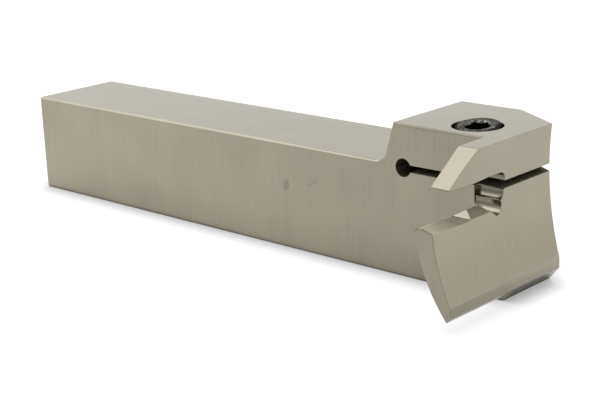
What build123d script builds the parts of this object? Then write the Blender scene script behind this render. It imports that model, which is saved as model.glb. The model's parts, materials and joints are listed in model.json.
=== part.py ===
from build123d import *
import math
import os

# Left-hand face-grooving tool holder with a square shank, and the screw that clamps its insert.
#
# The holder is one piece of steel. A slit and a round relief hole divide its head into a lower jaw,
# which carries a curved blade with the insert's seat, and a springy upper jaw, which ends in a
# sloping finger over that seat. The screw pulls the upper jaw down.
#
# Frame: +X along the shank towards the head, +Y to the back, +Z up. The origin lies on the shank's
# underside, in the middle of the length that a tool post clamps. All lengths are in millimetres.
# Places along X are measured back from the face plane, where the concave front face crosses the
# cutting height. Depths under the cutting height are called drops.

# Shank
SHANK_WIDTH = 25.0
SHANK_HEIGHT = 25.0
OVERALL_LENGTH = 150.0
CLAMP_MIDDLE = 60.0
EDGE_BREAK = 0.4

# Head
HEAD_LENGTH = 27.5
HEAD_RISE = 9.0
RAMP_LEAN = 17.0
RAMP_FILLET = 3.0
CORNER_CUT_LENGTH = 12.1
CORNER_CUT_ANGLE = 30.0
TOE_REACH = 4.35
TOE_BEVEL = 3.8

# Blade, curved about axes that run along Y at the cutting height
FACE_RADIUS = 44.0
BACK_RADIUS = 35.0
BLADE_THICKNESS = 4.6
BLADE_REACH = 22.6
BLADE_EDGE_BREAK = 0.15

# Insert seat
SEAT_DROP = 4.0
RIDGE_PLACE = 2.75
RIDGE_RADIUS = 1.0
FACE_FLANK_ANGLE = 17.0
BACK_FLANK_ANGLE = 33.0
SCOOP_DEPTH = 1.15
SCOOP_PLACE = 11.2
SCOOP_WALL_ANGLE = 21.0
SCOOP_FOOT_RADIUS = 3.0
SCOOP_RUN_RADIUS = 25.0

# Pocket behind the insert
POCKET_DEPTH = 6.25
STOP_RADIUS = 2.15
STOP_DROP = 1.6
STOP_INSET = 1.35
NOTCH_RADIUS = 2.0
NOTCH_DROP = 4.3
NOTCH_INSET = 0.3
NOTCH_SLOPE = 39.0
ROOF_RADIUS = 1.6
ROOF_INSET = 1.8

# Slit between the jaws
SLIT_WIDTH = 1.5
SLIT_DROP = 0.6
RELIEF_DIAMETER = 4.0
RELIEF_PLACE = 24.8

# Clamping finger
FINGER_REACH = 16.9
FINGER_WIDTH = 3.9
FINGER_LEAN = 4.5
FINGER_FLAT = 8.5
FINGER_SLOPE = 38.0
FINGER_FOLD_RADIUS = 2.5
FINGER_LIFT = 2.15
CONTACT_REACH = 9.0
CONTACT_RUN = 5.0
CONTACT_HEIGHT = 0.25

# Clamping screw, a socket-head cap screw M6 x 20
SCREW_DIAMETER = 6.0
SCREW_LENGTH = 20.0
SCREW_HEAD_DIAMETER = 10.0
SCREW_HEAD_HEIGHT = 6.0
SCREW_HEAD_PROUD = 0.15
SCREW_HEAD_ROUND = 0.6
SCREW_POINT_BREAK = 0.7
SOCKET_ACROSS_FLATS = 5.0
SOCKET_DEPTH = 3.0
SOCKET_TURN = 20.0
SCREW_PLACE = 10.8
SCREW_FROM_SIDE = 7.5
SCREW_LEAN = 6.0

# Clearances round the screw
THREAD_CLEARANCE = 0.05
SHANK_HOLE_CLEARANCE = 0.3
COUNTERBORE_CLEARANCE = 0.5
TAPPED_HOLE_SPARE = 2.5
DRILL_POINT_ANGLE = 118.0

# How far a cutting tool body runs past what it cuts, and how far joined solids share material
OVERRUN = 5.0
OVERLAP = 1.0

REAR_X = -CLAMP_MIDDLE
FACE_X = REAR_X + OVERALL_LENGTH
SIDE_Y = -SHANK_WIDTH / 2
BACK_Y = SHANK_WIDTH / 2
CUTTING_Z = SHANK_HEIGHT
TOP_Z = SHANK_HEIGHT + HEAD_RISE

TOE_X = FACE_X + TOE_REACH
BLADE_END_Y = SIDE_Y - BLADE_REACH
BLADE_BACK_X = FACE_X - BLADE_THICKNESS
SEAT_Z = CUTTING_Z - SEAT_DROP
SLIT_Z = CUTTING_Z - SLIT_DROP
SLIT_ROOF_Z = SLIT_Z + SLIT_WIDTH / 2
SLIT_FLOOR_Z = SLIT_Z - SLIT_WIDTH / 2
ROOF_Z = CUTTING_Z + FINGER_LIFT
SCREW_X = FACE_X - SCREW_PLACE
SCREW_Y = SIDE_Y + SCREW_FROM_SIDE

# Along the screw, heights are measured from the middle of the mouth of its counterbore. The screw
# leans about X, so that its head is nearer to the blade's side than its point.
SCREW_AT = Pos(SCREW_X, SCREW_Y, TOP_Z) * Rot(SCREW_LEAN, 0, 0)
SCREW_TOP = SCREW_HEAD_PROUD
SCREW_SEAT = SCREW_TOP - SCREW_HEAD_HEIGHT
SCREW_END = SCREW_SEAT - SCREW_LENGTH


def front_face_x(z):
    """X of the concave front face at height z."""
    return FACE_X + FACE_RADIUS - math.sqrt(FACE_RADIUS**2 - (z - CUTTING_Z) ** 2)


def face_edge():
    """The front outline in side view: concave arc down to the toe, flat toe, and its bevel."""
    toe_top_z = CUTTING_Z - math.sqrt(FACE_RADIUS**2 - (FACE_RADIUS - TOE_REACH) ** 2)
    top = (front_face_x(TOP_Z), TOP_Z)
    return [
        ThreePointArc(top, (FACE_X, CUTTING_Z), (TOE_X, toe_top_z)),
        Line((TOE_X, toe_top_z), (TOE_X, TOE_BEVEL)),
        Line((TOE_X, TOE_BEVEL), (TOE_X - TOE_BEVEL, 0)),
    ]


def side_profile():
    """Shank and head in side view, with the ramp that leads up to the head."""
    ramp_top = (FACE_X - HEAD_LENGTH, TOP_Z)
    ramp_foot = (ramp_top[0] - HEAD_RISE * math.tan(math.radians(RAMP_LEAN)), SHANK_HEIGHT)
    edges = face_edge()
    edges.append(
        Polyline(
            (TOE_X - TOE_BEVEL, 0),
            (REAR_X, 0),
            (REAR_X, SHANK_HEIGHT),
            ramp_foot,
            ramp_top,
            (front_face_x(TOP_Z), TOP_Z),
        )
    )
    profile = make_face(edges)
    foot = profile.vertices().sort_by_distance((ramp_foot[0], ramp_foot[1], 0))[0]
    return fillet(foot, RAMP_FILLET)


def along_y(profile, start_y, end_y):
    """A side-view profile as a prism from start_y forward to end_y, which is the lower value."""
    return Pos(0, start_y, 0) * extrude(Plane.XZ * profile, start_y - end_y)


def along_x(profile, start_x, end_x):
    """An end-view profile, drawn in Y and Z, as a prism from start_x to end_x."""
    return Pos(start_x, 0, 0) * extrude(Plane.YZ * profile, end_x - start_x)


def corner_cut():
    """The wedge taken off the back corner of the head, over its whole height."""
    reach = TOE_REACH + CORNER_CUT_LENGTH + OVERRUN
    start_x = FACE_X - CORNER_CUT_LENGTH
    fall = reach * math.tan(math.radians(CORNER_CUT_ANGLE))
    wedge = make_face(
        Polyline(
            (start_x, BACK_Y),
            (start_x + reach, BACK_Y - fall),
            (start_x + reach, BACK_Y + OVERRUN),
            (start_x, BACK_Y + OVERRUN),
            close=True,
        )
    )
    return extrude(wedge, TOP_Z)


def shank_and_head():
    """Shank and head as one prism with a cut back corner; the edges of its front face stay sharp."""
    prism = along_y(side_profile(), BACK_Y, SIDE_Y)
    flank_edges = prism.faces().filter_by(Axis.Y).edges()
    prism = chamfer([edge for edge in flank_edges if edge.center().X < FACE_X], EDGE_BREAK)
    rear_edges = prism.faces().sort_by(Axis.X)[0].edges()
    prism = chamfer(rear_edges, EDGE_BREAK)
    return prism - corner_cut()


def ridge():
    """The seat in side view: everything under a rounded ridge with two unlike flanks."""
    ridge_x = FACE_X - RIDGE_PLACE
    reach = 2 * BLADE_THICKNESS
    face_fall = reach * math.tan(math.radians(FACE_FLANK_ANGLE))
    back_fall = reach * math.tan(math.radians(BACK_FLANK_ANGLE))
    under = make_face(
        Polyline(
            (ridge_x, SEAT_Z),
            (ridge_x + reach, SEAT_Z - face_fall),
            (ridge_x + reach, 0),
            (ridge_x - reach, 0),
            (ridge_x - reach, SEAT_Z - back_fall),
            close=True,
        )
    )
    top = under.vertices().sort_by_distance((ridge_x, SEAT_Z, 0))[0]
    return fillet(top, RIDGE_RADIUS)


def blade_section():
    """The blade in side view, between its concave face and its convex back, under the ridge."""
    behind_face = make_face(
        face_edge()
        + [Polyline((TOE_X - TOE_BEVEL, 0), (REAR_X, 0), (REAR_X, TOP_Z), (front_face_x(TOP_Z), TOP_Z))]
    )
    inside_back = Pos(BLADE_BACK_X + BACK_RADIUS, CUTTING_Z) * Circle(BACK_RADIUS)
    return behind_face & inside_back & ridge()


def scoop():
    """The dip across the seat: a sloping wall from the rear land, and a long run to the front."""
    bottom_y = SIDE_Y - SCOOP_PLACE
    bottom_z = SEAT_Z - SCOOP_DEPTH
    top_z = SEAT_Z + SCOOP_DEPTH
    wall = math.radians(SCOOP_WALL_ANGLE)
    foot = (
        bottom_y + SCOOP_FOOT_RADIUS * math.sin(wall),
        bottom_z + SCOOP_FOOT_RADIUS * (1 - math.cos(wall)),
    )
    wall_top = (foot[0] + (top_z - foot[1]) / math.tan(wall), top_z)
    rise = top_z - bottom_z
    run_end = (bottom_y - math.sqrt(rise * (2 * SCOOP_RUN_RADIUS - rise)), top_z)
    outline = [
        TangentArc((bottom_y, bottom_z), foot, tangent=(1, 0)),
        Line(foot, wall_top),
        Line(wall_top, run_end),
        TangentArc((bottom_y, bottom_z), run_end, tangent=(-1, 0)),
    ]
    return along_x(make_face(outline), BLADE_BACK_X - OVERRUN, TOE_X + OVERRUN)


def blade():
    """The curved blade, from its end back into the head."""
    solid = along_y(blade_section(), SIDE_Y + OVERLAP, BLADE_END_Y)
    end_edges = solid.faces().sort_by(Axis.Y)[0].edges()
    return chamfer(end_edges, BLADE_EDGE_BREAK) - scoop()


def finger():
    """The upper jaw's finger: flat on top, sloping to its tip, with a low contact ridge underneath."""
    root_y = SIDE_Y + OVERLAP
    fold_y = SIDE_Y - FINGER_FLAT
    tip_y = SIDE_Y - FINGER_REACH
    contact_y = SIDE_Y - CONTACT_REACH
    tip_z = TOP_Z - (fold_y - tip_y) * math.tan(math.radians(FINGER_SLOPE))
    profile = make_face(
        Polyline(
            (root_y, TOP_Z),
            (fold_y, TOP_Z),
            (tip_y, tip_z),
            (tip_y, ROOF_Z),
            (contact_y, ROOF_Z - CONTACT_HEIGHT),
            (contact_y + CONTACT_RUN, ROOF_Z),
            (root_y, ROOF_Z),
            close=True,
        )
    )
    fold = profile.vertices().sort_by_distance((fold_y, TOP_Z, 0))[0]
    profile = fillet(fold, FINGER_FOLD_RADIUS)
    return along_x(profile, BLADE_BACK_X - OVERRUN, TOE_X) & along_y(finger_section(), root_y, tip_y)


def finger_section():
    """The finger in side view: from its leaning back to the concave front face."""
    top_x = FACE_X - FINGER_WIDTH
    lean = TOP_Z * math.tan(math.radians(FINGER_LEAN))
    return side_profile() & make_face(
        Polyline((top_x, TOP_Z), (top_x - lean, 0), (TOE_X, 0), (TOE_X, TOP_Z), close=True)
    )


def pocket():
    """The room behind the insert: two round stops over a sloping notch, under a rounded roof."""
    stop = Pos(SIDE_Y + STOP_INSET - STOP_RADIUS, CUTTING_Z - STOP_DROP) * Circle(STOP_RADIUS)
    notch_y = SIDE_Y + NOTCH_INSET - NOTCH_RADIUS
    notch_z = CUTTING_Z - NOTCH_DROP
    notch = Pos(notch_y, notch_z) * Circle(NOTCH_RADIUS)
    under_slope = Pos(0, -NOTCH_RADIUS) * Rectangle(4 * NOTCH_RADIUS, 2 * NOTCH_RADIUS)
    notch -= Pos(notch_y, notch_z - NOTCH_RADIUS) * Rot(0, 0, -NOTCH_SLOPE) * under_slope
    roof_y = SIDE_Y + ROOF_INSET - ROOF_RADIUS
    roof = Pos(roof_y, ROOF_Z - ROOF_RADIUS) * Circle(ROOF_RADIUS)
    room_height = ROOF_Z - (CUTTING_Z - STOP_DROP)
    room_centre = Pos(roof_y - STOP_RADIUS / 2, ROOF_Z - room_height / 2)
    room = room_centre * Rectangle(STOP_RADIUS, room_height)
    return along_x(stop + notch + roof + room, FACE_X - POCKET_DEPTH, TOE_X + OVERRUN)


def slit():
    """The slit from the front face back to the relief hole, through the whole width."""
    relief_x = FACE_X - RELIEF_PLACE
    length = RELIEF_PLACE + OVERRUN
    cut = Pos(relief_x + length / 2, SLIT_Z) * Rectangle(length, SLIT_WIDTH)
    cut += Pos(relief_x, SLIT_Z) * Circle(RELIEF_DIAMETER / 2)
    return along_y(cut, BACK_Y + OVERRUN, SIDE_Y - OVERRUN)


def turned(profile):
    """A profile of radius against height, turned about the screw's axis."""
    return SCREW_AT * revolve(Plane.XZ * profile, Axis.Z)


def screw_hole():
    """Counterbore, clearance hole through the upper jaw and tapped hole in the lower jaw."""
    counterbore = SCREW_HEAD_DIAMETER / 2 + COUNTERBORE_CLEARANCE
    shank_hole = SCREW_DIAMETER / 2 + SHANK_HOLE_CLEARANCE
    tapped = SCREW_DIAMETER / 2 + THREAD_CLEARANCE
    middle_of_slit = (SLIT_Z - TOP_Z) / math.cos(math.radians(SCREW_LEAN))
    hole_end = SCREW_END - TAPPED_HOLE_SPARE
    drill_point = tapped / math.tan(math.radians(DRILL_POINT_ANGLE / 2))
    return turned(
        make_face(
            Polyline(
                (0, OVERRUN),
                (counterbore, OVERRUN),
                (counterbore, SCREW_SEAT),
                (shank_hole, SCREW_SEAT),
                (shank_hole, middle_of_slit),
                (tapped, middle_of_slit),
                (tapped, hole_end),
                (0, hole_end - drill_point),
                close=True,
            )
        )
    )


def holder_body():
    """The whole one-piece holder."""
    body = shank_and_head() + blade() + finger()
    return body - pocket() - slit() - screw_hole()


def hex_socket():
    """The hexagon socket, with a coned mouth and the coned floor that its drill leaves."""
    flats = SOCKET_ACROSS_FLATS / 2
    corners = flats / math.cos(math.pi / 6)
    hexagon = RegularPolygon(flats, 6, major_radius=False, rotation=SOCKET_TURN)
    walls = SCREW_AT * Pos(0, 0, SCREW_TOP) * extrude(hexagon, -SOCKET_DEPTH)
    floor_fall = flats / math.tan(math.radians(DRILL_POINT_ANGLE / 2))
    cones = Polyline(
        (0, SCREW_TOP),
        (corners, SCREW_TOP),
        (flats, SCREW_TOP - (corners - flats)),
        (flats, SCREW_TOP - SOCKET_DEPTH),
        (0, SCREW_TOP - SOCKET_DEPTH - floor_fall),
        close=True,
    )
    return walls + turned(make_face(cones))


def clamp_screw():
    """Socket-head cap screw, seated on the floor of its counterbore."""
    head = SCREW_HEAD_DIAMETER / 2
    shank = SCREW_DIAMETER / 2
    profile = make_face(
        Polyline(
            (0, SCREW_TOP),
            (head, SCREW_TOP),
            (head, SCREW_SEAT),
            (shank, SCREW_SEAT),
            (shank, SCREW_END),
            (0, SCREW_END),
            close=True,
        )
    )
    rim = profile.vertices().sort_by_distance((head, SCREW_TOP, 0))[0]
    profile = fillet(rim, SCREW_HEAD_ROUND)
    point = profile.vertices().sort_by_distance((shank, SCREW_END, 0))[0]
    profile = chamfer(point, SCREW_POINT_BREAK)
    return turned(profile) - hex_socket()


def main():
    os.makedirs("parts", exist_ok=True)
    export_step(holder_body(), "parts/holder_body.step")
    export_step(clamp_screw(), "parts/clamp_screw.step")


main()
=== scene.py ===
"""Finishes a left-hand face-grooving tool holder: rounds the holder's edges and plates it, cuts the
clamping screw's thread and socket, and sets both on the floor of a small white studio."""

import json
import math

import bmesh
import bpy
from mathutils import Matrix, Vector

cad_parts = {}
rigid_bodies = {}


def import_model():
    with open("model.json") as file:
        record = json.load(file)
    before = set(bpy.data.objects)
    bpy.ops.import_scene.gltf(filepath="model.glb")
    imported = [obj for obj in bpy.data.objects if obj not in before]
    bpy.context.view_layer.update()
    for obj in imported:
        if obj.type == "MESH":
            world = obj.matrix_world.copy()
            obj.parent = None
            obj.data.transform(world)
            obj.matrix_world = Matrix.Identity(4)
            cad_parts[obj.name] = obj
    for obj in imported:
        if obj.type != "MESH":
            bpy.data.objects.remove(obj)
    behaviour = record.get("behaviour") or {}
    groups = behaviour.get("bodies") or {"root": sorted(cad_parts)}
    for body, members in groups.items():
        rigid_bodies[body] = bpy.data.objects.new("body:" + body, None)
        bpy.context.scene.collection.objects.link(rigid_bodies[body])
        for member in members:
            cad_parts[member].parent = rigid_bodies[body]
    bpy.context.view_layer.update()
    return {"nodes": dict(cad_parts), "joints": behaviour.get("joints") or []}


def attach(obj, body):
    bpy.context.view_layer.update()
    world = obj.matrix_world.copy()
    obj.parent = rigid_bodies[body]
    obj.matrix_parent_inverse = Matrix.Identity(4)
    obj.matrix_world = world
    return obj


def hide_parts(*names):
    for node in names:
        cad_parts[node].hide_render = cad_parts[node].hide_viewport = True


bl_info = {
    "name": "Face-Grooving Holder",
    "version": (1, 0, 0),
    "blender": (4, 5, 0),
    "location": "View3D > Sidebar > Grooving Holder",
    "description": "Finishes a face-grooving tool holder and its clamping screw, and lights them",
    "category": "Object",
}

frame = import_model()

MM = 0.001
SCREW_JOINT = next(joint for joint in frame["joints"] if joint["name"] == "clamp_screw_turn")
SCREW_BODY = SCREW_JOINT["child"]
HOLDER_BODY = SCREW_JOINT["parent"]
SCREW_SEAT = Vector(SCREW_JOINT["pos_m"])
SCREW_LEAN = math.atan2(-SCREW_JOINT["axis"][1], SCREW_JOINT["axis"][2])


def linear(hex_colour):
    """An sRGB hex colour as a linear RGB tuple."""
    channels = [int(hex_colour[place : place + 2], 16) / 255 for place in (1, 3, 5)]
    return tuple(c / 12.92 if c <= 0.04045 else ((c + 0.055) / 1.055) ** 2.4 for c in channels)


class HolderFinish(bpy.types.PropertyGroup):
    """The holder's broken edges and its nickel plating."""

    edge_round: bpy.props.FloatProperty(
        name="Broken edge",
        description="Width of the small rounding that deburring left on the edges",
        default=0.14 * MM,
        min=0,
        unit="LENGTH",
    )
    colour: bpy.props.FloatVectorProperty(
        name="Nickel colour",
        description="Colour of the satin nickel plating",
        default=linear("#9D9786"),
        size=3,
        min=0,
        max=1,
        subtype="COLOR",
    )
    ground_roughness: bpy.props.FloatProperty(
        name="Ground roughness",
        description="How far the ground outer faces spread a reflection",
        default=0.22,
        min=0,
        max=1,
        subtype="FACTOR",
    )
    pocket_roughness: bpy.props.FloatProperty(
        name="Pocket roughness",
        description="How far the milled walls of the pocket spread a reflection",
        default=0.15,
        min=0,
        max=1,
        subtype="FACTOR",
    )
    seat_roughness: bpy.props.FloatProperty(
        name="Seat roughness",
        description="How far the milled insert seat spreads a reflection",
        default=0.65,
        min=0,
        max=1,
        subtype="FACTOR",
    )
    stoned_roughness: bpy.props.FloatProperty(
        name="Stoned roughness",
        description="How far the hand-stoned edge of the head spreads a reflection",
        default=0.5,
        min=0,
        max=1,
        subtype="FACTOR",
    )
    grain_width: bpy.props.FloatProperty(
        name="Grain width",
        description="Width of the faint upright streaks that fine grinding left",
        default=0.6 * MM,
        min=0,
        unit="LENGTH",
    )
    mill_line: bpy.props.FloatProperty(
        name="Mill line",
        description="Spacing of the cutter lines in the pocket and on the seat",
        default=0.25 * MM,
        min=0,
        unit="LENGTH",
    )
    line_length: bpy.props.FloatProperty(
        name="Line length",
        description="How far a grinding streak or a cutter line runs",
        default=12 * MM,
        min=0,
        unit="LENGTH",
    )
    # Painted shade: the slit's colour is dark for the little light that reaches into it.
    slit_painted_shade_colour: bpy.props.FloatVectorProperty(
        name="Eroded colour",
        description="Colour of the spark-eroded walls of the slit",
        default=linear("#6B6659"),
        size=3,
        min=0,
        max=1,
        subtype="COLOR",
    )
    eroded_roughness: bpy.props.FloatProperty(
        name="Eroded roughness",
        description="How far the spark-eroded walls of the slit spread a reflection",
        default=0.65,
        min=0,
        max=1,
        subtype="FACTOR",
    )


class ScrewSizes(bpy.types.PropertyGroup):
    """Sizes and colour of the M6 clamping screw."""

    shank_diameter: bpy.props.FloatProperty(
        name="Thread diameter",
        description="Outer diameter of the thread",
        default=6 * MM,
        min=0,
        unit="LENGTH",
    )
    length: bpy.props.FloatProperty(
        name="Length",
        description="Length under the head",
        default=20 * MM,
        min=0,
        unit="LENGTH",
    )
    pitch: bpy.props.FloatProperty(
        name="Pitch",
        description="Rise of the thread for each turn",
        default=1 * MM,
        min=0,
        unit="LENGTH",
    )
    head_diameter: bpy.props.FloatProperty(
        name="Head diameter",
        description="Diameter of the cylindrical head",
        default=10 * MM,
        min=0,
        unit="LENGTH",
    )
    head_height: bpy.props.FloatProperty(
        name="Head height",
        description="Height of the cylindrical head",
        default=6 * MM,
        min=0,
        unit="LENGTH",
    )
    seat_gap: bpy.props.FloatProperty(
        name="Seat gap",
        description="Hair-thin gap under the head, so that it turns free of its seat",
        default=0.01 * MM,
        min=0,
        unit="LENGTH",
    )
    head_round: bpy.props.FloatProperty(
        name="Head rounding",
        description="Radius of the rounded rim on top of the head",
        default=0.6 * MM,
        min=0,
        unit="LENGTH",
    )
    socket_width: bpy.props.FloatProperty(
        name="Socket width",
        description="Width of the hexagon socket across its flats",
        default=5 * MM,
        min=0,
        unit="LENGTH",
    )
    socket_depth: bpy.props.FloatProperty(
        name="Socket depth",
        description="Depth of the hexagon socket",
        default=3 * MM,
        min=0,
        unit="LENGTH",
    )
    socket_rim: bpy.props.FloatProperty(
        name="Socket rim",
        description="Width of the countersunk rim round the hexagon's corners",
        default=0.15 * MM,
        min=0,
        unit="LENGTH",
    )
    socket_turn: bpy.props.FloatProperty(
        name="Socket turn",
        description="How far the hexagon's first corner is turned from the shank's direction",
        default=math.radians(20),
        subtype="ANGLE",
    )
    rubbed_radius: bpy.props.FloatProperty(
        name="Rubbed radius",
        description="How far from the axis keys have rubbed the black oxide off",
        default=4.1 * MM,
        min=0,
        unit="LENGTH",
    )
    rubbed_patch: bpy.props.FloatProperty(
        name="Rubbed patch",
        description="Size of the patches in which the black oxide is rubbed off",
        default=0.5 * MM,
        min=0,
        unit="LENGTH",
    )
    rubbed_colour: bpy.props.FloatVectorProperty(
        name="Rubbed colour",
        description="Colour of the steel where the black oxide is rubbed thin",
        default=linear("#969590"),
        size=3,
        min=0,
        max=1,
        subtype="COLOR",
    )
    glancing_colour: bpy.props.FloatVectorProperty(
        name="Glancing colour",
        description="What is left of the oiled layer's sheen at a flat angle",
        default=linear("#AEADA8"),
        size=3,
        min=0,
        max=1,
        subtype="COLOR",
    )
    colour: bpy.props.FloatVectorProperty(
        name="Black oxide colour",
        description="Colour of the oiled black oxide",
        default=linear("#2A2A29"),
        size=3,
        min=0,
        max=1,
        subtype="COLOR",
    )
    roughness: bpy.props.FloatProperty(
        name="Black oxide roughness",
        description="How far the oiled black oxide spreads a reflection",
        default=0.36,
        min=0,
        max=1,
        subtype="FACTOR",
    )


class StudioSettings(bpy.types.PropertyGroup):
    """Camera, floor, surroundings and soft box."""

    camera_place: bpy.props.FloatVectorProperty(
        name="Camera place",
        description="Where the camera stands",
        default=(247.472 * MM, -238.059 * MM, 102.713 * MM),
        size=3,
        subtype="TRANSLATION",
        unit="LENGTH",
    )
    azimuth: bpy.props.FloatProperty(
        name="Azimuth",
        description="The camera's turn round the holder, from the side face",
        default=math.radians(43.229),
        subtype="ANGLE",
    )
    elevation: bpy.props.FloatProperty(
        name="Elevation",
        description="How far the camera looks down",
        default=math.radians(16.218),
        subtype="ANGLE",
    )
    roll: bpy.props.FloatProperty(
        name="Roll",
        description="The camera's turn about its own line of sight",
        default=math.radians(-2.25),
        subtype="ANGLE",
    )
    focal_length: bpy.props.FloatProperty(
        name="Focal length",
        description="The lens, on a sensor 36 mm wide",
        default=84.90,
        unit="CAMERA",
    )
    shift: bpy.props.FloatVectorProperty(
        name="Shift",
        description="Sideways and upward shift of the lens, as a share of the image's width",
        default=(-0.00264, -0.00296),
        size=2,
    )
    floor_size: bpy.props.FloatProperty(
        name="Floor size",
        description="Side of the square floor",
        default=6.0,
        unit="LENGTH",
    )
    floor_colour: bpy.props.FloatVectorProperty(
        name="Floor colour",
        description="Colour of the matt paper floor",
        default=linear("#E6E6E8"),
        size=3,
        min=0,
        max=1,
        subtype="COLOR",
    )
    seen_colour: bpy.props.FloatVectorProperty(
        name="Seen colour",
        description="The part of the floor's colour that shows shading to the camera",
        default=linear("#949496"),
        size=3,
        min=0,
        max=1,
        subtype="COLOR",
    )
    floor_lift: bpy.props.FloatProperty(
        name="Floor lift",
        description="How much whiter than its shading the camera sees the floor",
        default=0.85,
        min=0,
    )
    mirrored_lift: bpy.props.FloatProperty(
        name="Mirrored lift",
        description="How much whiter than its shading the holder mirrors the floor",
        default=0.25,
        min=0,
    )
    front_loss: bpy.props.FloatProperty(
        name="Front loss",
        description="How much dimmer the holder mirrors the floor towards the camera",
        default=0.22,
        min=0,
    )
    contact_reach: bpy.props.FloatProperty(
        name="Contact shadow reach",
        description="How far the dark line of contact reaches over the paper",
        default=7 * MM,
        min=0,
        unit="LENGTH",
    )
    contact_light: bpy.props.FloatProperty(
        name="Contact light",
        description="Share of its light that the paper keeps in the darkest line of contact",
        default=0.10,
        min=0,
        max=1,
        subtype="FACTOR",
    )
    toe_reach: bpy.props.FloatProperty(
        name="Toe shadow reach",
        description="How far the dark line of contact reaches at the toe",
        default=5 * MM,
        min=0,
        unit="LENGTH",
    )
    toe_light: bpy.props.FloatProperty(
        name="Toe light",
        description="Share of its light that the paper keeps in the line of contact at the toe",
        default=0.30,
        min=0,
        max=1,
        subtype="FACTOR",
    )
    mirrored_reach: bpy.props.FloatProperty(
        name="Mirrored shadow reach",
        description="How far the dark line of contact reaches as the holder mirrors it",
        default=3 * MM,
        min=0,
        unit="LENGTH",
    )
    mirrored_light: bpy.props.FloatProperty(
        name="Mirrored light",
        description="Share of its light that the paper keeps in the line of contact as mirrored",
        default=0.20,
        min=0,
        max=1,
        subtype="FACTOR",
    )
    surroundings: bpy.props.FloatProperty(
        name="Surroundings",
        description="Brightness of the white tent round the holder",
        default=1.0,
        min=0,
    )
    open_side: bpy.props.FloatProperty(
        name="Open side",
        description="Brightness of the tent's opening, which the left side face mirrors",
        default=0.6,
        min=0,
    )
    box_place: bpy.props.FloatVectorProperty(
        name="Soft box place",
        description="Where the large soft box on the left hangs",
        default=(-0.543, -0.031, 0.678),
        size=3,
        subtype="TRANSLATION",
        unit="LENGTH",
    )
    box_size: bpy.props.FloatVectorProperty(
        name="Soft box size",
        description="Width and height of the soft box",
        default=(1.15, 0.60),
        size=2,
        min=0,
        unit="LENGTH",
    )
    box_power: bpy.props.FloatProperty(
        name="Soft box power",
        description="Power of the soft box",
        default=2.1,
        min=0,
        unit="POWER",
    )
    box_colour: bpy.props.FloatVectorProperty(
        name="Soft box colour",
        description="Colour of the soft box's daylight tubes",
        default=linear("#F4F8FF"),
        size=3,
        min=0,
        max=1,
        subtype="COLOR",
    )


# --------------------------------------------------------------------------------------- helpers


def add_node(tree, kind, inputs=None, **settings):
    """Adds a node. An input is given its value, or the output socket that feeds it."""
    made = tree.nodes.new(kind)
    for name, value in settings.items():
        setattr(made, name, value)
    for name, value in (inputs or {}).items():
        if isinstance(value, bpy.types.NodeSocket):
            tree.links.new(value, made.inputs[name])
        else:
            made.inputs[name].default_value = value
    return made


def new_material(name):
    """An empty node material and its node tree."""
    material = bpy.data.materials.new(name)
    material.use_nodes = True
    material.node_tree.nodes.clear()
    return material, material.node_tree


def deselect_all():
    """Leaves nothing selected, because an operator acts on all that is."""
    bpy.ops.object.select_all(action="DESELECT")


def select_only(item):
    """Makes one object the selected and active one."""
    deselect_all()
    item.select_set(True)
    bpy.context.view_layer.objects.active = item


def apply_modifier(item, kind, **settings):
    """Adds a modifier to an object with these settings, and applies it."""
    select_only(item)
    bpy.ops.object.modifier_add(type=kind)
    modifier = item.modifiers[-1]
    for name, value in settings.items():
        setattr(modifier, name, value)
    bpy.ops.object.modifier_apply(modifier=modifier.name)


def combine(item, other, operation):
    """Joins, cuts or trims one solid by another, which is used up."""
    apply_modifier(item, "BOOLEAN", operation=operation, object=other, solver="EXACT")
    bpy.data.objects.remove(other)


def set_material(item, material):
    """Gives an object this material alone."""
    item.data.materials.clear()
    item.data.materials.append(material)


# ------------------------------------------------------------------------------------- materials

# Marks of use on the left side: centre, turn about Y, half sizes and the share of light they take.
# The core is the share of a mark's size that is fully dark.
OIL_SPOT = ((30.75 * MM, -12.5 * MM, 15.0 * MM), 0.25, (1.3 * MM, 5 * MM, 1.8 * MM), 0.22)
SCRATCH = ((38.8 * MM, -12.5 * MM, 16.65 * MM), -0.43, (2.3 * MM, 5 * MM, 0.3 * MM), 0.16)
MARK_CORE = 0.4

# The stretch along Y over which the seat's colour is painted brighter towards the blade's front end,
# a painted highlight, and its brightness at either end.
SEAT_LIGHT_FROM, SEAT_LIGHT_TO = -26 * MM, -34 * MM
BRIGHT_FROM, BRIGHT_TO = 1.05, 1.45

# The plating: noise for its lines and its soft clouds, and how far that changes the roughness.
CLOUDS_PER_METRE = 70.0
NOISE_MEAN = 0.5
LINE_SWING, SUM_SWING = 0.2, 0.3
ROUGHNESS_SWING = 0.02

# The depths under the screw's top over which its rubbing starts, and the noise that forms patches.
TOP_FROM, TOP_TO = 0.5 * MM, 0.3 * MM
PATCH_FROM, PATCH_TO, LEAST_RUBBED = 0.45, 0.62, 0.15

# The places along X over which the floor's line of contact changes to the toe's, and the distances
# towards the camera over which its reflection dims.
TOE_FROM, TOE_TO = 82 * MM, 91 * MM
DIM_FROM, DIM_TO = 20 * MM, 100 * MM
TOWARDS_CAMERA = (0.5, -0.87, 0)


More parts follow.
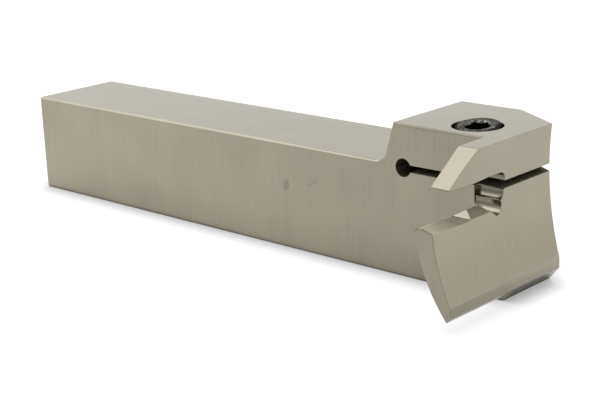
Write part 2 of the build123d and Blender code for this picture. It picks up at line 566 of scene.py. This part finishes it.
def nickel_plate(name, finish, roughness, spacing, contrast, shade=1.0, depth=0.0, marks=None):
    """Electroless nickel over machined tool steel. The plating is warm grey and satin, and lines of
    the machining beneath show through it. They are spaced by a size along each axis, their contrast
    changes the brightness, and a depth makes them catch the light."""
    material, tree = new_material(name)
    place = add_node(tree, "ShaderNodeTexCoord").outputs["Object"]
    scaled = add_node(
        tree, "ShaderNodeMapping", {"Vector": place, "Scale": [1 / size for size in spacing]}
    )
    lines = add_node(
        tree,
        "ShaderNodeTexNoise",
        {"Vector": scaled.outputs["Vector"], "Scale": 1.0, "Detail": 2.0, "Roughness": 0.5},
    ).outputs["Fac"]
    clouds = add_node(
        tree,
        "ShaderNodeTexNoise",
        {"Vector": place, "Scale": CLOUDS_PER_METRE, "Detail": 1.0, "Roughness": 0.5},
    ).outputs["Fac"]
    uneven = add_node(tree, "ShaderNodeMath", {0: lines, 1: clouds}, operation="ADD")
    bright = add_node(
        tree,
        "ShaderNodeMapRange",
        {
            "Value": uneven.outputs["Value"],
            "From Min": 2 * NOISE_MEAN - SUM_SWING,
            "From Max": 2 * NOISE_MEAN + SUM_SWING,
            "To Min": shade * (1 - contrast),
            "To Max": shade * (1 + contrast),
        },
    ).outputs["Result"]
    if marks:
        bright = marks(tree, place, bright)
    colour = add_node(
        tree, "ShaderNodeVectorMath", {0: finish.colour, "Scale": bright}, operation="SCALE"
    )
    spread = add_node(
        tree,
        "ShaderNodeMapRange",
        {
            "Value": lines,
            "From Min": NOISE_MEAN - LINE_SWING,
            "From Max": NOISE_MEAN + LINE_SWING,
            "To Min": roughness - ROUGHNESS_SWING,
            "To Max": roughness + ROUGHNESS_SWING,
        },
    )
    shader = add_node(
        tree,
        "ShaderNodeBsdfPrincipled",
        {
            "Base Color": colour.outputs["Vector"],
            "Metallic": 1.0,
            "Roughness": spread.outputs["Result"],
        },
    )
    if depth:
        ripple = add_node(
            tree, "ShaderNodeBump", {"Height": lines, "Strength": 1.0, "Distance": depth}
        )
        tree.links.new(ripple.outputs["Normal"], shader.inputs["Normal"])
    add_node(tree, "ShaderNodeOutputMaterial", {"Surface": shader.outputs["BSDF"]})
    return material


def handling_marks(tree, place, bright):
    """Darkens two small marks of use on the holder's left side: an oily spot and a fine scratch."""
    for centre, turn, half_sizes, loss in (OIL_SPOT, SCRATCH):
        local = add_node(
            tree,
            "ShaderNodeMapping",
            {
                "Vector": place,
                "Location": centre,
                "Rotation": (0, turn, 0),
                "Scale": half_sizes,
            },
            vector_type="TEXTURE",
        )
        reach = add_node(
            tree, "ShaderNodeVectorMath", {0: local.outputs["Vector"]}, operation="LENGTH"
        )
        kept = add_node(
            tree,
            "ShaderNodeMapRange",
            {
                "Value": reach.outputs["Value"],
                "From Min": MARK_CORE,
                "To Min": 1 - loss,
                "To Max": 1.0,
            },
            interpolation_type="SMOOTHSTEP",
        )
        bright = add_node(
            tree, "ShaderNodeMath", {0: bright, 1: kept.outputs["Result"]}, operation="MULTIPLY"
        ).outputs["Value"]
    return bright


def painted_seat_light(tree, place, bright):
    """Paints light on the seat: brightens its colour towards the blade's front end, a painted
    highlight.
    """
    # Painted highlight: the seat's colour grows brighter along Y towards the blade's front end.
    along = add_node(tree, "ShaderNodeSeparateXYZ", {"Vector": place}).outputs["Y"]
    gain = add_node(
        tree,
        "ShaderNodeMapRange",
        {
            "Value": along,
            "From Min": SEAT_LIGHT_FROM,
            "From Max": SEAT_LIGHT_TO,
            "To Min": BRIGHT_FROM,
            "To Max": BRIGHT_TO,
        },
    )
    return add_node(
        tree, "ShaderNodeMath", {0: bright, 1: gain.outputs["Result"]}, operation="MULTIPLY"
    ).outputs["Value"]


def eroded_slit_painted_shade(finish):
    """Nickel over a spark-eroded slit and its drilled end. The skin is rough and looks dull, and its
    colour is painted shade, nearly black beside the ground faces, for the little light that reaches
    into the slit."""
    material, tree = new_material("spark_eroded_slit_painted_shade")
    shader = add_node(
        tree,
        "ShaderNodeBsdfPrincipled",
        {
            "Base Color": (*finish.slit_painted_shade_colour, 1),
            "Metallic": 1.0,
            "Roughness": finish.eroded_roughness,
            "Specular Tint": (*finish.slit_painted_shade_colour, 1),
        },
    )
    add_node(tree, "ShaderNodeOutputMaterial", {"Surface": shader.outputs["BSDF"]})
    return material


def key_rub(tree, sizes):
    """How far keys have rubbed the black oxide off, in patches on top of the head and round its
    socket, from 0 for untouched to 1 for bare."""
    place = add_node(tree, "ShaderNodeTexCoord").outputs["Object"]
    local = add_node(
        tree,
        "ShaderNodeMapping",
        {"Vector": place, "Location": SCREW_SEAT, "Rotation": (SCREW_LEAN, 0, 0)},
        vector_type="TEXTURE",
    )
    parts = add_node(tree, "ShaderNodeSeparateXYZ", {"Vector": local.outputs["Vector"]}).outputs
    flat = add_node(tree, "ShaderNodeCombineXYZ", {"X": parts["X"], "Y": parts["Y"]})
    radius = add_node(
        tree, "ShaderNodeVectorMath", {0: flat.outputs["Vector"]}, operation="LENGTH"
    ).outputs["Value"]
    round_socket = add_node(
        tree,
        "ShaderNodeMapRange",
        {
            "Value": radius,
            "From Min": sizes.rubbed_radius,
            "From Max": sizes.rubbed_radius + sizes.rubbed_patch,
            "To Min": 1.0,
            "To Max": 0.0,
        },
        interpolation_type="SMOOTHSTEP",
    )
    on_top = add_node(
        tree,
        "ShaderNodeMapRange",
        {
            "Value": parts["Z"],
            "From Min": sizes.head_height - TOP_FROM,
            "From Max": sizes.head_height - TOP_TO,
        },
    )
    # The patches are coarser than real ones, as large as they need to be to show.
    patches = add_node(
        tree,
        "ShaderNodeTexNoise",
        {"Vector": place, "Scale": 1 / sizes.rubbed_patch, "Detail": 2.0, "Roughness": 0.6},
    )
    patchy = add_node(
        tree,
        "ShaderNodeMapRange",
        {
            "Value": patches.outputs["Fac"],
            "From Min": PATCH_FROM,
            "From Max": PATCH_TO,
            "To Min": LEAST_RUBBED,
        },
    )
    rubbed = add_node(
        tree,
        "ShaderNodeMath",
        {0: round_socket.outputs["Result"], 1: on_top.outputs["Result"]},
        operation="MULTIPLY",
    )
    return add_node(
        tree,
        "ShaderNodeMath",
        {0: rubbed.outputs["Value"], 1: patchy.outputs["Result"]},
        operation="MULTIPLY",
    ).outputs["Value"]


def black_oxide(sizes):
    """Black oxide on a cold-headed alloy-steel screw. The oiled layer is near black with a soft
    metallic sheen, and keys have rubbed it to grey in patches round the socket."""
    material, tree = new_material("black_oxide_steel")
    colour = add_node(
        tree,
        "ShaderNodeMix",
        {
            "Factor": key_rub(tree, sizes),
            "A": (*sizes.colour, 1),
            "B": (*sizes.rubbed_colour, 1),
        },
        data_type="RGBA",
    )
    shader = add_node(
        tree,
        "ShaderNodeBsdfPrincipled",
        {
            "Base Color": colour.outputs["Result"],
            "Metallic": 1.0,
            "Roughness": sizes.roughness,
            "Specular Tint": (*sizes.glancing_colour, 1),
        },
    )
    add_node(tree, "ShaderNodeOutputMaterial", {"Surface": shader.outputs["BSDF"]})
    return material


def floor_lift(tree, rays, place, studio):
    """How much whiter than its shading the paper is seen: by the camera, and in every reflection,
    which is a little dimmer in front where the camera stands."""
    forward = add_node(
        tree, "ShaderNodeVectorMath", {0: place, 1: TOWARDS_CAMERA}, operation="DOT_PRODUCT"
    )
    dimmed = add_node(
        tree,
        "ShaderNodeMapRange",
        {
            "Value": forward.outputs["Value"],
            "From Min": DIM_FROM,
            "From Max": DIM_TO,
            "To Min": studio.mirrored_lift,
            "To Max": studio.mirrored_lift - studio.front_loss,
        },
    )
    mirrored = add_node(
        tree,
        "ShaderNodeMath",
        {0: rays["Is Glossy Ray"], 1: rays["Is Transmission Ray"]},
        operation="ADD",
    )
    mirrored_lift = add_node(
        tree,
        "ShaderNodeMath",
        {0: mirrored.outputs["Value"], 1: dimmed.outputs["Result"]},
        operation="MULTIPLY",
    )
    return add_node(
        tree,
        "ShaderNodeMath",
        {0: rays["Is Camera Ray"], 1: studio.floor_lift, 2: mirrored_lift.outputs["Value"]},
        operation="MULTIPLY_ADD",
    ).outputs["Value"]


def contact_share(tree, rays, place, studio):
    """The share of its light that the paper keeps near the holder's edges. It draws a dark line of
    contact, which is shorter and lighter at the toe than along the shank."""
    at_toe = add_node(
        tree,
        "ShaderNodeMapRange",
        {
            "Value": add_node(tree, "ShaderNodeSeparateXYZ", {"Vector": place}).outputs["X"],
            "From Min": TOE_FROM,
            "From Max": TOE_TO,
        },
    )
    seen_reach = add_node(
        tree,
        "ShaderNodeMix",
        {"Factor": at_toe.outputs["Result"], "A": studio.contact_reach, "B": studio.toe_reach},
    )
    seen_light = add_node(
        tree,
        "ShaderNodeMix",
        {"Factor": at_toe.outputs["Result"], "A": studio.contact_light, "B": studio.toe_light},
    )
    reach = add_node(
        tree,
        "ShaderNodeMix",
        {
            "Factor": rays["Is Camera Ray"],
            "A": studio.mirrored_reach,
            "B": seen_reach.outputs["Result"],
        },
    )
    open_share = add_node(
        tree, "ShaderNodeAmbientOcclusion", {"Distance": reach.outputs["Result"]}
    ).outputs["AO"]
    least_light = add_node(
        tree,
        "ShaderNodeMix",
        {
            "Factor": rays["Is Camera Ray"],
            "A": studio.mirrored_light,
            "B": seen_light.outputs["Result"],
        },
    )
    return add_node(
        tree,
        "ShaderNodeMapRange",
        {"Value": open_share, "To Min": least_light.outputs["Result"]},
    ).outputs["Result"]


def studio_paper(studio):
    """Matt white paper, which the camera and every reflection see white and which darkens over the
    last few millimetres before the holder's edges."""
    material, tree = new_material("studio_paper")
    rays = add_node(tree, "ShaderNodeLightPath").outputs
    place = add_node(tree, "ShaderNodeTexCoord").outputs["Object"]
    strength = floor_lift(tree, rays, place, studio)
    share = contact_share(tree, rays, place, studio)
    colour = add_node(
        tree,
        "ShaderNodeMix",
        {
            "Factor": rays["Is Camera Ray"],
            "A": (*studio.floor_colour, 1),
            "B": (*studio.seen_colour, 1),
        },
        data_type="RGBA",
    )
    paper = add_node(tree, "ShaderNodeBsdfDiffuse", {"Color": colour.outputs["Result"]})
    lift = add_node(tree, "ShaderNodeEmission", {"Strength": strength})
    lit = add_node(
        tree, "ShaderNodeAddShader", {0: paper.outputs["BSDF"], 1: lift.outputs["Emission"]}
    )
    dark = add_node(tree, "ShaderNodeEmission", {"Strength": 0.0})
    shadowed = add_node(
        tree,
        "ShaderNodeMixShader",
        {0: share, 1: dark.outputs["Emission"], 2: lit.outputs["Shader"]},
    )
    add_node(tree, "ShaderNodeOutputMaterial", {"Surface": shadowed.outputs["Shader"]})
    return material


# ---------------------------------------------------------------------------------------- pieces

# Points closer than this are joined. The holder's joints are smooth up to one angle and vanish up to
# another, and the screw's are smooth up to the crease.
WELD = 0.001 * MM
SMOOTH_ANGLE = math.radians(12)
FLAT_ANGLE = math.radians(0.5)
CREASE_ANGLE = math.radians(30)

# Deburring reaches edges sharper than this, ahead of the rear end, clear of the screw's bore and
# beside a face larger than this.
SHARP_ANGLE = math.radians(28)
REAR_END = -59 * MM
BORE_REACH, BORE_TOP = 5.7 * MM, 33.8 * MM
LEAST_FACE = 4 * MM * MM
EDGE_SEGMENTS = 2

# Boxes round the faces of one finish: low and high corner, in millimetres.
FAR = math.inf
STONED_BOX = ((62, -12.49, 33.4), (87, -12, FAR))
FINGER_BOX = ((-FAR, -FAR, 26), (FAR, -14, FAR))
SEAT_BOX = ((85.3, -FAR, 15), (FAR, -12.4, 23))
POCKET_BOX = ((83.7, -13.5, 14), (89.95, FAR, 28))
SLIT_BOX = ((65.2, -FAR, 23.6), (FAR, FAR, 25.2))
SLIT_HOLE_X, SLIT_HOLE_Z, SLIT_HOLE_RADIUS = 65.2, 24.4, 2.05

# Parts of a face's normal past which it leans, belongs to the scoop, is turned, and is square.
LEANING, SCOOPED, TURNED, SQUARE = 0.3, 0.2, 0.5, 0.999

# A metric thread by its pitch: depth, width of the ridge's foot, and chamfer of the point.
THREAD_DEPTH, RIDGE_FOOT, POINT_CHAMFER = 0.613, 0.93, 0.7
THREAD_STEPS = 36
SHANK_VERTICES, HEAD_VERTICES = 72, 96
RIM_SEGMENTS, MOUTH_SEGMENTS = 5, 4
MOUTH_ROUND = 0.7  # by the width of the socket's rim
# How close to its height, and how far beyond its radius, a ring of edges is looked for.
RING_HEIGHT, RING_MARGIN = 0.01 * MM, 0.1 * MM


def joined_copy(node, name):
    """A copy of a CAD node with its loose triangles joined to one skin, smooth up to its edges."""
    copy = bpy.data.objects.new(name, node.data.copy())
    bpy.context.scene.collection.objects.link(copy)
    select_only(copy)
    bpy.ops.mesh.customdata_custom_splitnormals_clear()
    bpy.ops.object.shade_smooth()
    bpy.ops.object.mode_set(mode="EDIT")
    bpy.ops.mesh.select_mode(type="EDGE")
    bpy.ops.mesh.select_all(action="DESELECT")
    bpy.ops.mesh.select_non_manifold()
    bpy.ops.mesh.mark_sharp()
    bpy.ops.mesh.select_all(action="SELECT")
    bpy.ops.mesh.remove_doubles(threshold=WELD)
    skin = bmesh.from_edit_mesh(copy.data)
    for edge in skin.edges:
        if edge.calc_face_angle(0) < SMOOTH_ANGLE:
            edge.smooth = True
    bmesh.update_edit_mesh(copy.data)
    bpy.ops.mesh.dissolve_limited(angle_limit=FLAT_ANGLE)
    bpy.ops.object.mode_set(mode="OBJECT")
    return copy


def is_broken_edge(edge):
    """Whether deburring reaches an edge: it is sharp, and neither in a bore nor at the rear end."""
    if edge.smooth or len(edge.link_faces) != 2 or edge.calc_face_angle() < SHARP_ANGLE:
        return False
    if min(vertex.co.x for vertex in edge.verts) < REAR_END:
        return False
    middle = (edge.verts[0].co + edge.verts[1].co) / 2
    from_axis = math.hypot(middle.x - SCREW_SEAT.x, middle.y - SCREW_SEAT.y)
    if from_axis < BORE_REACH and middle.z < BORE_TOP:
        return False
    return max(face.calc_area() for face in edge.link_faces) > LEAST_FACE


def break_edges(holder, width):
    """Rounds the holder's outer edges by the little that deburring takes off."""
    select_only(holder)
    bpy.ops.object.mode_set(mode="EDIT")
    bpy.ops.mesh.select_mode(type="EDGE")
    bpy.ops.mesh.select_all(action="DESELECT")
    skin = bmesh.from_edit_mesh(holder.data)
    for edge in skin.edges:
        edge.select_set(is_broken_edge(edge))
    bmesh.update_edit_mesh(holder.data)
    bpy.ops.mesh.mark_sharp(clear=True)
    bpy.ops.mesh.bevel(
        offset=width, segments=EDGE_SEGMENTS, affect="EDGES", clamp_overlap=False
    )
    bpy.ops.mesh.select_all(action="SELECT")
    bpy.ops.mesh.remove_doubles(threshold=2 * WELD)
    bpy.ops.object.mode_set(mode="OBJECT")
    apply_modifier(holder, "WEIGHTED_NORMAL", weight=100, keep_sharp=True)


def within(place, box):
    """Whether a place lies between the low and the high corner of a box."""
    return all(low < value < high for value, low, high in zip(place, *box))


def in_slit(place):
    """Whether a place in millimetres lies in the slit or in the hole at its end."""
    from_hole = math.hypot(place[0] - SLIT_HOLE_X, place[2] - SLIT_HOLE_Z)
    return from_hole < SLIT_HOLE_RADIUS or within(place, SLIT_BOX)


def holder_region(centre, normal):
    """Which of the holder's finishes a face has, by its centre and its normal."""
    place = [value / MM for value in centre]
    rises, leans_left = normal.z > LEANING, normal.y < -LEANING
    if in_slit(place) and abs(normal.y) < TURNED and abs(normal.x) < SQUARE:
        return "slit"
    if within(place, STONED_BOX) and leans_left:
        return "stoned"
    if within(place, FINGER_BOX) and rises and leans_left:
        return "finger"
    if within(place, SEAT_BOX) and rises:
        return "scoop" if normal.y < -SCOOPED else "seat"
    if within(place, POCKET_BOX):
        return "pocket"
    return "end" if abs(normal.x) > TURNED else "outer"


def holder_finishes(finish):
    """The holder's finishes by the kind of face that has them."""
    # Real grinding streaks and cutter lines are finer: these are as coarse as they need to show.
    grain, line, long = finish.grain_width, finish.mill_line, finish.line_length
    ground = finish.ground_roughness
    return {
        # Ground sides, top and underside: satin, with faint upright streaks and marks of handling.
        "outer": nickel_plate(
            "ground_nickel",
            finish,
            ground,
            (grain, grain, long),
            contrast=0.06,
            marks=handling_marks,
        ),
        # Ground ends and front: the same satin, with fainter upright streaks.
        "end": nickel_plate(
            "ground_end_nickel", finish, ground, (long, grain, long), contrast=0.035
        ),
        # The finger's slope: fine lines run down it, so that it shines evenly.
        "finger": nickel_plate("slope_nickel", finish, ground, (line, long, long), contrast=0.05),
        # The insert's seat: dull, with cutter lines along the blade, and painted brighter towards
        # the blade's front end, a painted highlight.
        "seat": nickel_plate(
            "milled_seat_nickel",
            finish,
            finish.seat_roughness,
            (line, long, long),
            contrast=0.2,
            depth=0.02 * MM,
            marks=painted_seat_light,
        ),
        # The scoop at the seat's end: the same lines, but smooth and bright.
        "scoop": nickel_plate(
            "milled_scoop_nickel", finish, ground, (line, long, long), contrast=0.08
        ),
        # The pocket's hollows: glossy, with lines left by the side of the cutter, and painted darker
        # by a shade of 0.65, a painted shade in the recess.
        "pocket": nickel_plate(
            "milled_pocket_nickel",
            finish,
            finish.pocket_roughness,
            (long, line, line),
            contrast=0.15,
            # Painted shade: the pocket's colour is darkened in the recess.
            shade=0.65,
            depth=0.01 * MM,
        ),
        # The head's long top edge, broken by hand with a stone: duller than the ground faces.
        "stoned": nickel_plate(
            "stoned_edge_nickel",
            finish,
            finish.stoned_roughness,
            (long, line, line),
            contrast=0.05,
            shade=0.85,
        ),
        # The slit and its drilled end: rough, and painted dark as painted shade.
        "slit": eroded_slit_painted_shade(finish),
    }


class GROOVER_OT_holder(bpy.types.Operator):
    """Break the holder's edges and plate it with satin nickel"""

    bl_idname = "groover.holder"
    bl_label = "Finish Holder"

    def execute(self, context):
        finish = context.scene.holder_finish
        holder = joined_copy(frame["nodes"]["holder_body"], "holder_body_finished")
        break_edges(holder, finish.edge_round)
        finishes = holder_finishes(finish)
        holder.data.materials.clear()
        for material in finishes.values():
            holder.data.materials.append(material)
        order = list(finishes)
        for face in holder.data.polygons:
            face.material_index = order.index(holder_region(face.center, face.normal))
        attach(holder, HOLDER_BODY)
        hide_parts("holder_body")
        return {"FINISHED"}


def thread_ridge(sizes):
    """The thread's 60 degree ridge, run down the shank as a helix with closed ends."""
    radius = sizes.shank_diameter / 2
    sharp_height = sizes.pitch * math.sqrt(3) / 2
    apex = radius + sharp_height / 8
    side = RIDGE_FOOT * sizes.pitch
    turns = int(sizes.length / sizes.pitch) + 1
    bpy.ops.mesh.primitive_circle_add(
        vertices=3,
        radius=side / math.sqrt(3),
        location=(apex - side / math.sqrt(3), 0, -sizes.pitch),
        rotation=(math.pi / 2, math.pi / 2, 0),
    )
    ridge = bpy.context.active_object
    bpy.ops.object.transform_apply()
    apply_modifier(
        ridge,
        "SCREW",
        axis="Z",
        screw_offset=-sizes.pitch,
        iterations=turns,
        steps=THREAD_STEPS,
        render_steps=THREAD_STEPS,
    )
    bpy.ops.object.mode_set(mode="EDIT")
    bpy.ops.mesh.select_all(action="SELECT")
    bpy.ops.mesh.remove_doubles(threshold=WELD)
    bpy.ops.mesh.fill_holes(sides=3)
    bpy.ops.mesh.normals_make_consistent(inside=False)
    bpy.ops.object.mode_set(mode="OBJECT")
    return ridge


def cylinder(radius, low, high, vertices=SHANK_VERTICES, turn=0.0):
    """A cylinder, or a prism, on the Z axis between two heights."""
    bpy.ops.mesh.primitive_cylinder_add(
        vertices=vertices,
        radius=radius,
        depth=high - low,
        location=(0, 0, (low + high) / 2),
        rotation=(0, 0, turn),
    )
    bpy.ops.object.transform_apply()
    return bpy.context.active_object


def bevel_ring(item, height, width, segments, reach=math.inf):
    """Bevels the circular edge of a cylinder at one height, or one within reach of its axis."""
    select_only(item)
    bpy.ops.object.mode_set(mode="EDIT")
    bpy.ops.mesh.select_all(action="DESELECT")
    bpy.ops.mesh.select_mode(type="EDGE")
    bpy.ops.object.mode_set(mode="OBJECT")
    for edge in item.data.edges:
        ends = [item.data.vertices[v].co for v in edge.vertices]
        edge.select = all(
            abs(end.z - height) < RING_HEIGHT and math.hypot(end.x, end.y) < reach for end in ends
        )
    bpy.ops.object.mode_set(mode="EDIT")
    bpy.ops.mesh.bevel(offset=width, segments=segments, affect="EDGES")
    bpy.ops.object.mode_set(mode="OBJECT")


def threaded_shank(sizes):
    """The shank: a core with the ridge on it, trimmed to its outer diameter and chamfered point."""
    radius = sizes.shank_diameter / 2
    core_radius = radius - THREAD_DEPTH * sizes.pitch
    inside_head = sizes.head_height / 3
    shank = cylinder(core_radius, -sizes.length, inside_head)
    combine(shank, thread_ridge(sizes), "UNION")
    envelope = cylinder(radius, -sizes.length, inside_head)
    bevel_ring(envelope, -sizes.length, POINT_CHAMFER * sizes.pitch, 1)
    combine(shank, envelope, "INTERSECT")
    return shank


def screw_head(sizes):
    """The cylindrical head with its rounded rim, and its hexagon socket in a small countersink."""
    head = cylinder(
        sizes.head_diameter / 2, sizes.seat_gap, sizes.head_height, vertices=HEAD_VERTICES
    )
    bevel_ring(head, sizes.head_height, sizes.head_round, RIM_SEGMENTS)
    flats = sizes.socket_width / 2
    corners = flats / math.cos(math.pi / 6)
    mouth = corners + sizes.socket_rim
    prism = cylinder(
        corners,
        sizes.head_height - sizes.socket_depth,
        sizes.head_height + sizes.socket_depth,
        vertices=6,
        turn=sizes.socket_turn + math.pi / 6,
    )
    bpy.ops.mesh.primitive_cone_add(
        vertices=HEAD_VERTICES,
        radius1=0,
        radius2=2 * mouth,
        depth=2 * mouth,
        location=(0, 0, sizes.head_height),
    )
    cone = bpy.context.active_object
    bpy.ops.object.transform_apply()
    combine(head, cone, "DIFFERENCE")
    bevel_ring(
        head,
        sizes.head_height,
        MOUTH_ROUND * sizes.socket_rim,
        MOUTH_SEGMENTS,
        reach=mouth + RING_MARGIN,
    )
    combine(head, prism, "DIFFERENCE")
    return head


class GROOVER_OT_screw(bpy.types.Operator):
    """Make the clamping screw with its thread and its hexagon socket"""

    bl_idname = "groover.screw"
    bl_label = "Make Clamping Screw"

    def execute(self, context):
        sizes = context.scene.screw_sizes
        screw = screw_head(sizes)
        combine(screw, threaded_shank(sizes), "UNION")
        screw.name = screw.data.name = "clamp_screw_finished"
        screw.location = SCREW_SEAT
        screw.rotation_euler = (SCREW_LEAN, 0, 0)
        select_only(screw)
        bpy.ops.object.transform_apply()
        bpy.ops.object.mode_set(mode="EDIT")
        bpy.ops.mesh.select_all(action="SELECT")
        bpy.ops.mesh.remove_doubles(threshold=WELD)
        bpy.ops.mesh.quads_convert_to_tris(quad_method="BEAUTY", ngon_method="BEAUTY")
        bpy.ops.object.mode_set(mode="OBJECT")
        bpy.ops.object.shade_smooth_by_angle(angle=CREASE_ANGLE)
        set_material(screw, black_oxide(sizes))
        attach(screw, SCREW_BODY)
        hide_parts("clamp_screw")
        return {"FINISHED"}


# ----------------------------------------------------------------------------------------- stage

# The direction in which the left side face mirrors the tent to the camera, and the cosines of the
# angles from it at which the tent's opening starts and is full.
MIRRORED_BY_SIDE = (-0.5, -0.87, 0)
OPENING_EDGE, OPENING_FULL = 0.7, 0.95
HEAD_MIDDLE = Vector((70 * MM, -10 * MM, 20 * MM))
SENSOR_WIDTH = 36  # in millimetres, as cameras give it
NEAREST, FARTHEST = 10 * MM, 20


def make_floor(studio):
    """A wide sheet of white paper under the holder."""
    bpy.ops.mesh.primitive_plane_add(size=studio.floor_size)
    floor = bpy.context.active_object
    floor.name = "studio_floor"
    set_material(floor, studio_paper(studio))


def make_soft_box(studio):
    """The large area lamp on the left, turned to the holder's head."""
    facing = HEAD_MIDDLE - Vector(studio.box_place)
    bpy.ops.object.light_add(
        type="AREA",
        location=studio.box_place,
        rotation=facing.to_track_quat("-Z", "Y").to_euler(),
    )
    lamp = bpy.context.active_object
    lamp.name = "left_soft_box"
    lamp.data.shape = "RECTANGLE"
    lamp.data.size, lamp.data.size_y = studio.box_size
    lamp.data.energy = studio.box_power
    lamp.data.color = studio.box_colour


def make_world(studio):
    """An even white tent, dimmer where it is open in front, in what the left side face mirrors."""
    world = bpy.data.worlds.new("studio_surroundings")
    bpy.context.scene.world = world
    world.use_nodes = True
    tree = world.node_tree
    tree.nodes.clear()
    direction = add_node(tree, "ShaderNodeTexCoord").outputs["Generated"]
    forward = add_node(
        tree, "ShaderNodeVectorMath", {0: direction, 1: MIRRORED_BY_SIDE}, operation="DOT_PRODUCT"
    )
    light = add_node(
        tree,
        "ShaderNodeMapRange",
        {
            "Value": forward.outputs["Value"],
            "From Min": OPENING_EDGE,
            "From Max": OPENING_FULL,
            "To Min": studio.surroundings,
            "To Max": studio.open_side,
        },
        interpolation_type="SMOOTHSTEP",
    )
    background = add_node(
        tree, "ShaderNodeBackground", {"Color": (1, 1, 1, 1), "Strength": light.outputs["Result"]}
    )
    add_node(tree, "ShaderNodeOutputWorld", {"Surface": background.outputs["Background"]})


def make_camera(studio):
    """The camera, in front on the right, looking down at the holder through a long lens."""
    turned = (
        Matrix.Rotation(studio.azimuth, 3, "Z")
        @ Matrix.Rotation(math.pi / 2 - studio.elevation, 3, "X")
        @ Matrix.Rotation(studio.roll, 3, "Z")
    )
    bpy.ops.object.camera_add(location=studio.camera_place, rotation=turned.to_euler())
    camera = bpy.context.active_object
    camera.name = "studio_camera"
    camera.data.sensor_width = SENSOR_WIDTH
    camera.data.lens = studio.focal_length
    camera.data.shift_x, camera.data.shift_y = studio.shift
    camera.data.clip_start, camera.data.clip_end = NEAREST, FARTHEST
    bpy.context.scene.camera = camera


class GROOVER_OT_stage(bpy.types.Operator):
    """Set the floor, the surroundings, the soft box and the camera"""

    bl_idname = "groover.stage"
    bl_label = "Set Stage"

    def execute(self, context):
        studio = context.scene.studio_settings
        deselect_all()
        make_floor(studio)
        make_world(studio)
        make_soft_box(studio)
        make_camera(studio)
        context.scene.view_settings.view_transform = "Standard"
        return {"FINISHED"}


class GROOVER_PT_panel(bpy.types.Panel):
    """The steps that finish the holder"""

    bl_idname = "GROOVER_PT_panel"
    bl_label = "Grooving Holder"
    bl_space_type = "VIEW_3D"
    bl_region_type = "UI"
    bl_category = "Grooving Holder"

    def draw(self, context):
        for operator in (GROOVER_OT_holder, GROOVER_OT_screw, GROOVER_OT_stage):
            self.layout.operator(operator.bl_idname)


CLASSES = (
    HolderFinish,
    ScrewSizes,
    StudioSettings,
    GROOVER_OT_holder,
    GROOVER_OT_screw,
    GROOVER_OT_stage,
    GROOVER_PT_panel,
)


def register():
    for made in CLASSES:
        bpy.utils.register_class(made)
    bpy.types.Scene.holder_finish = bpy.props.PointerProperty(type=HolderFinish)
    bpy.types.Scene.screw_sizes = bpy.props.PointerProperty(type=ScrewSizes)
    bpy.types.Scene.studio_settings = bpy.props.PointerProperty(type=StudioSettings)


def unregister():
    del bpy.types.Scene.studio_settings
    del bpy.types.Scene.screw_sizes
    del bpy.types.Scene.holder_finish
    for made in reversed(CLASSES):
        bpy.utils.unregister_class(made)


def main():
    """Builds every piece in order."""
    register()
    bpy.ops.groover.holder()
    bpy.ops.groover.screw()
    bpy.ops.groover.stage()


if __name__ == "__main__":
    main()
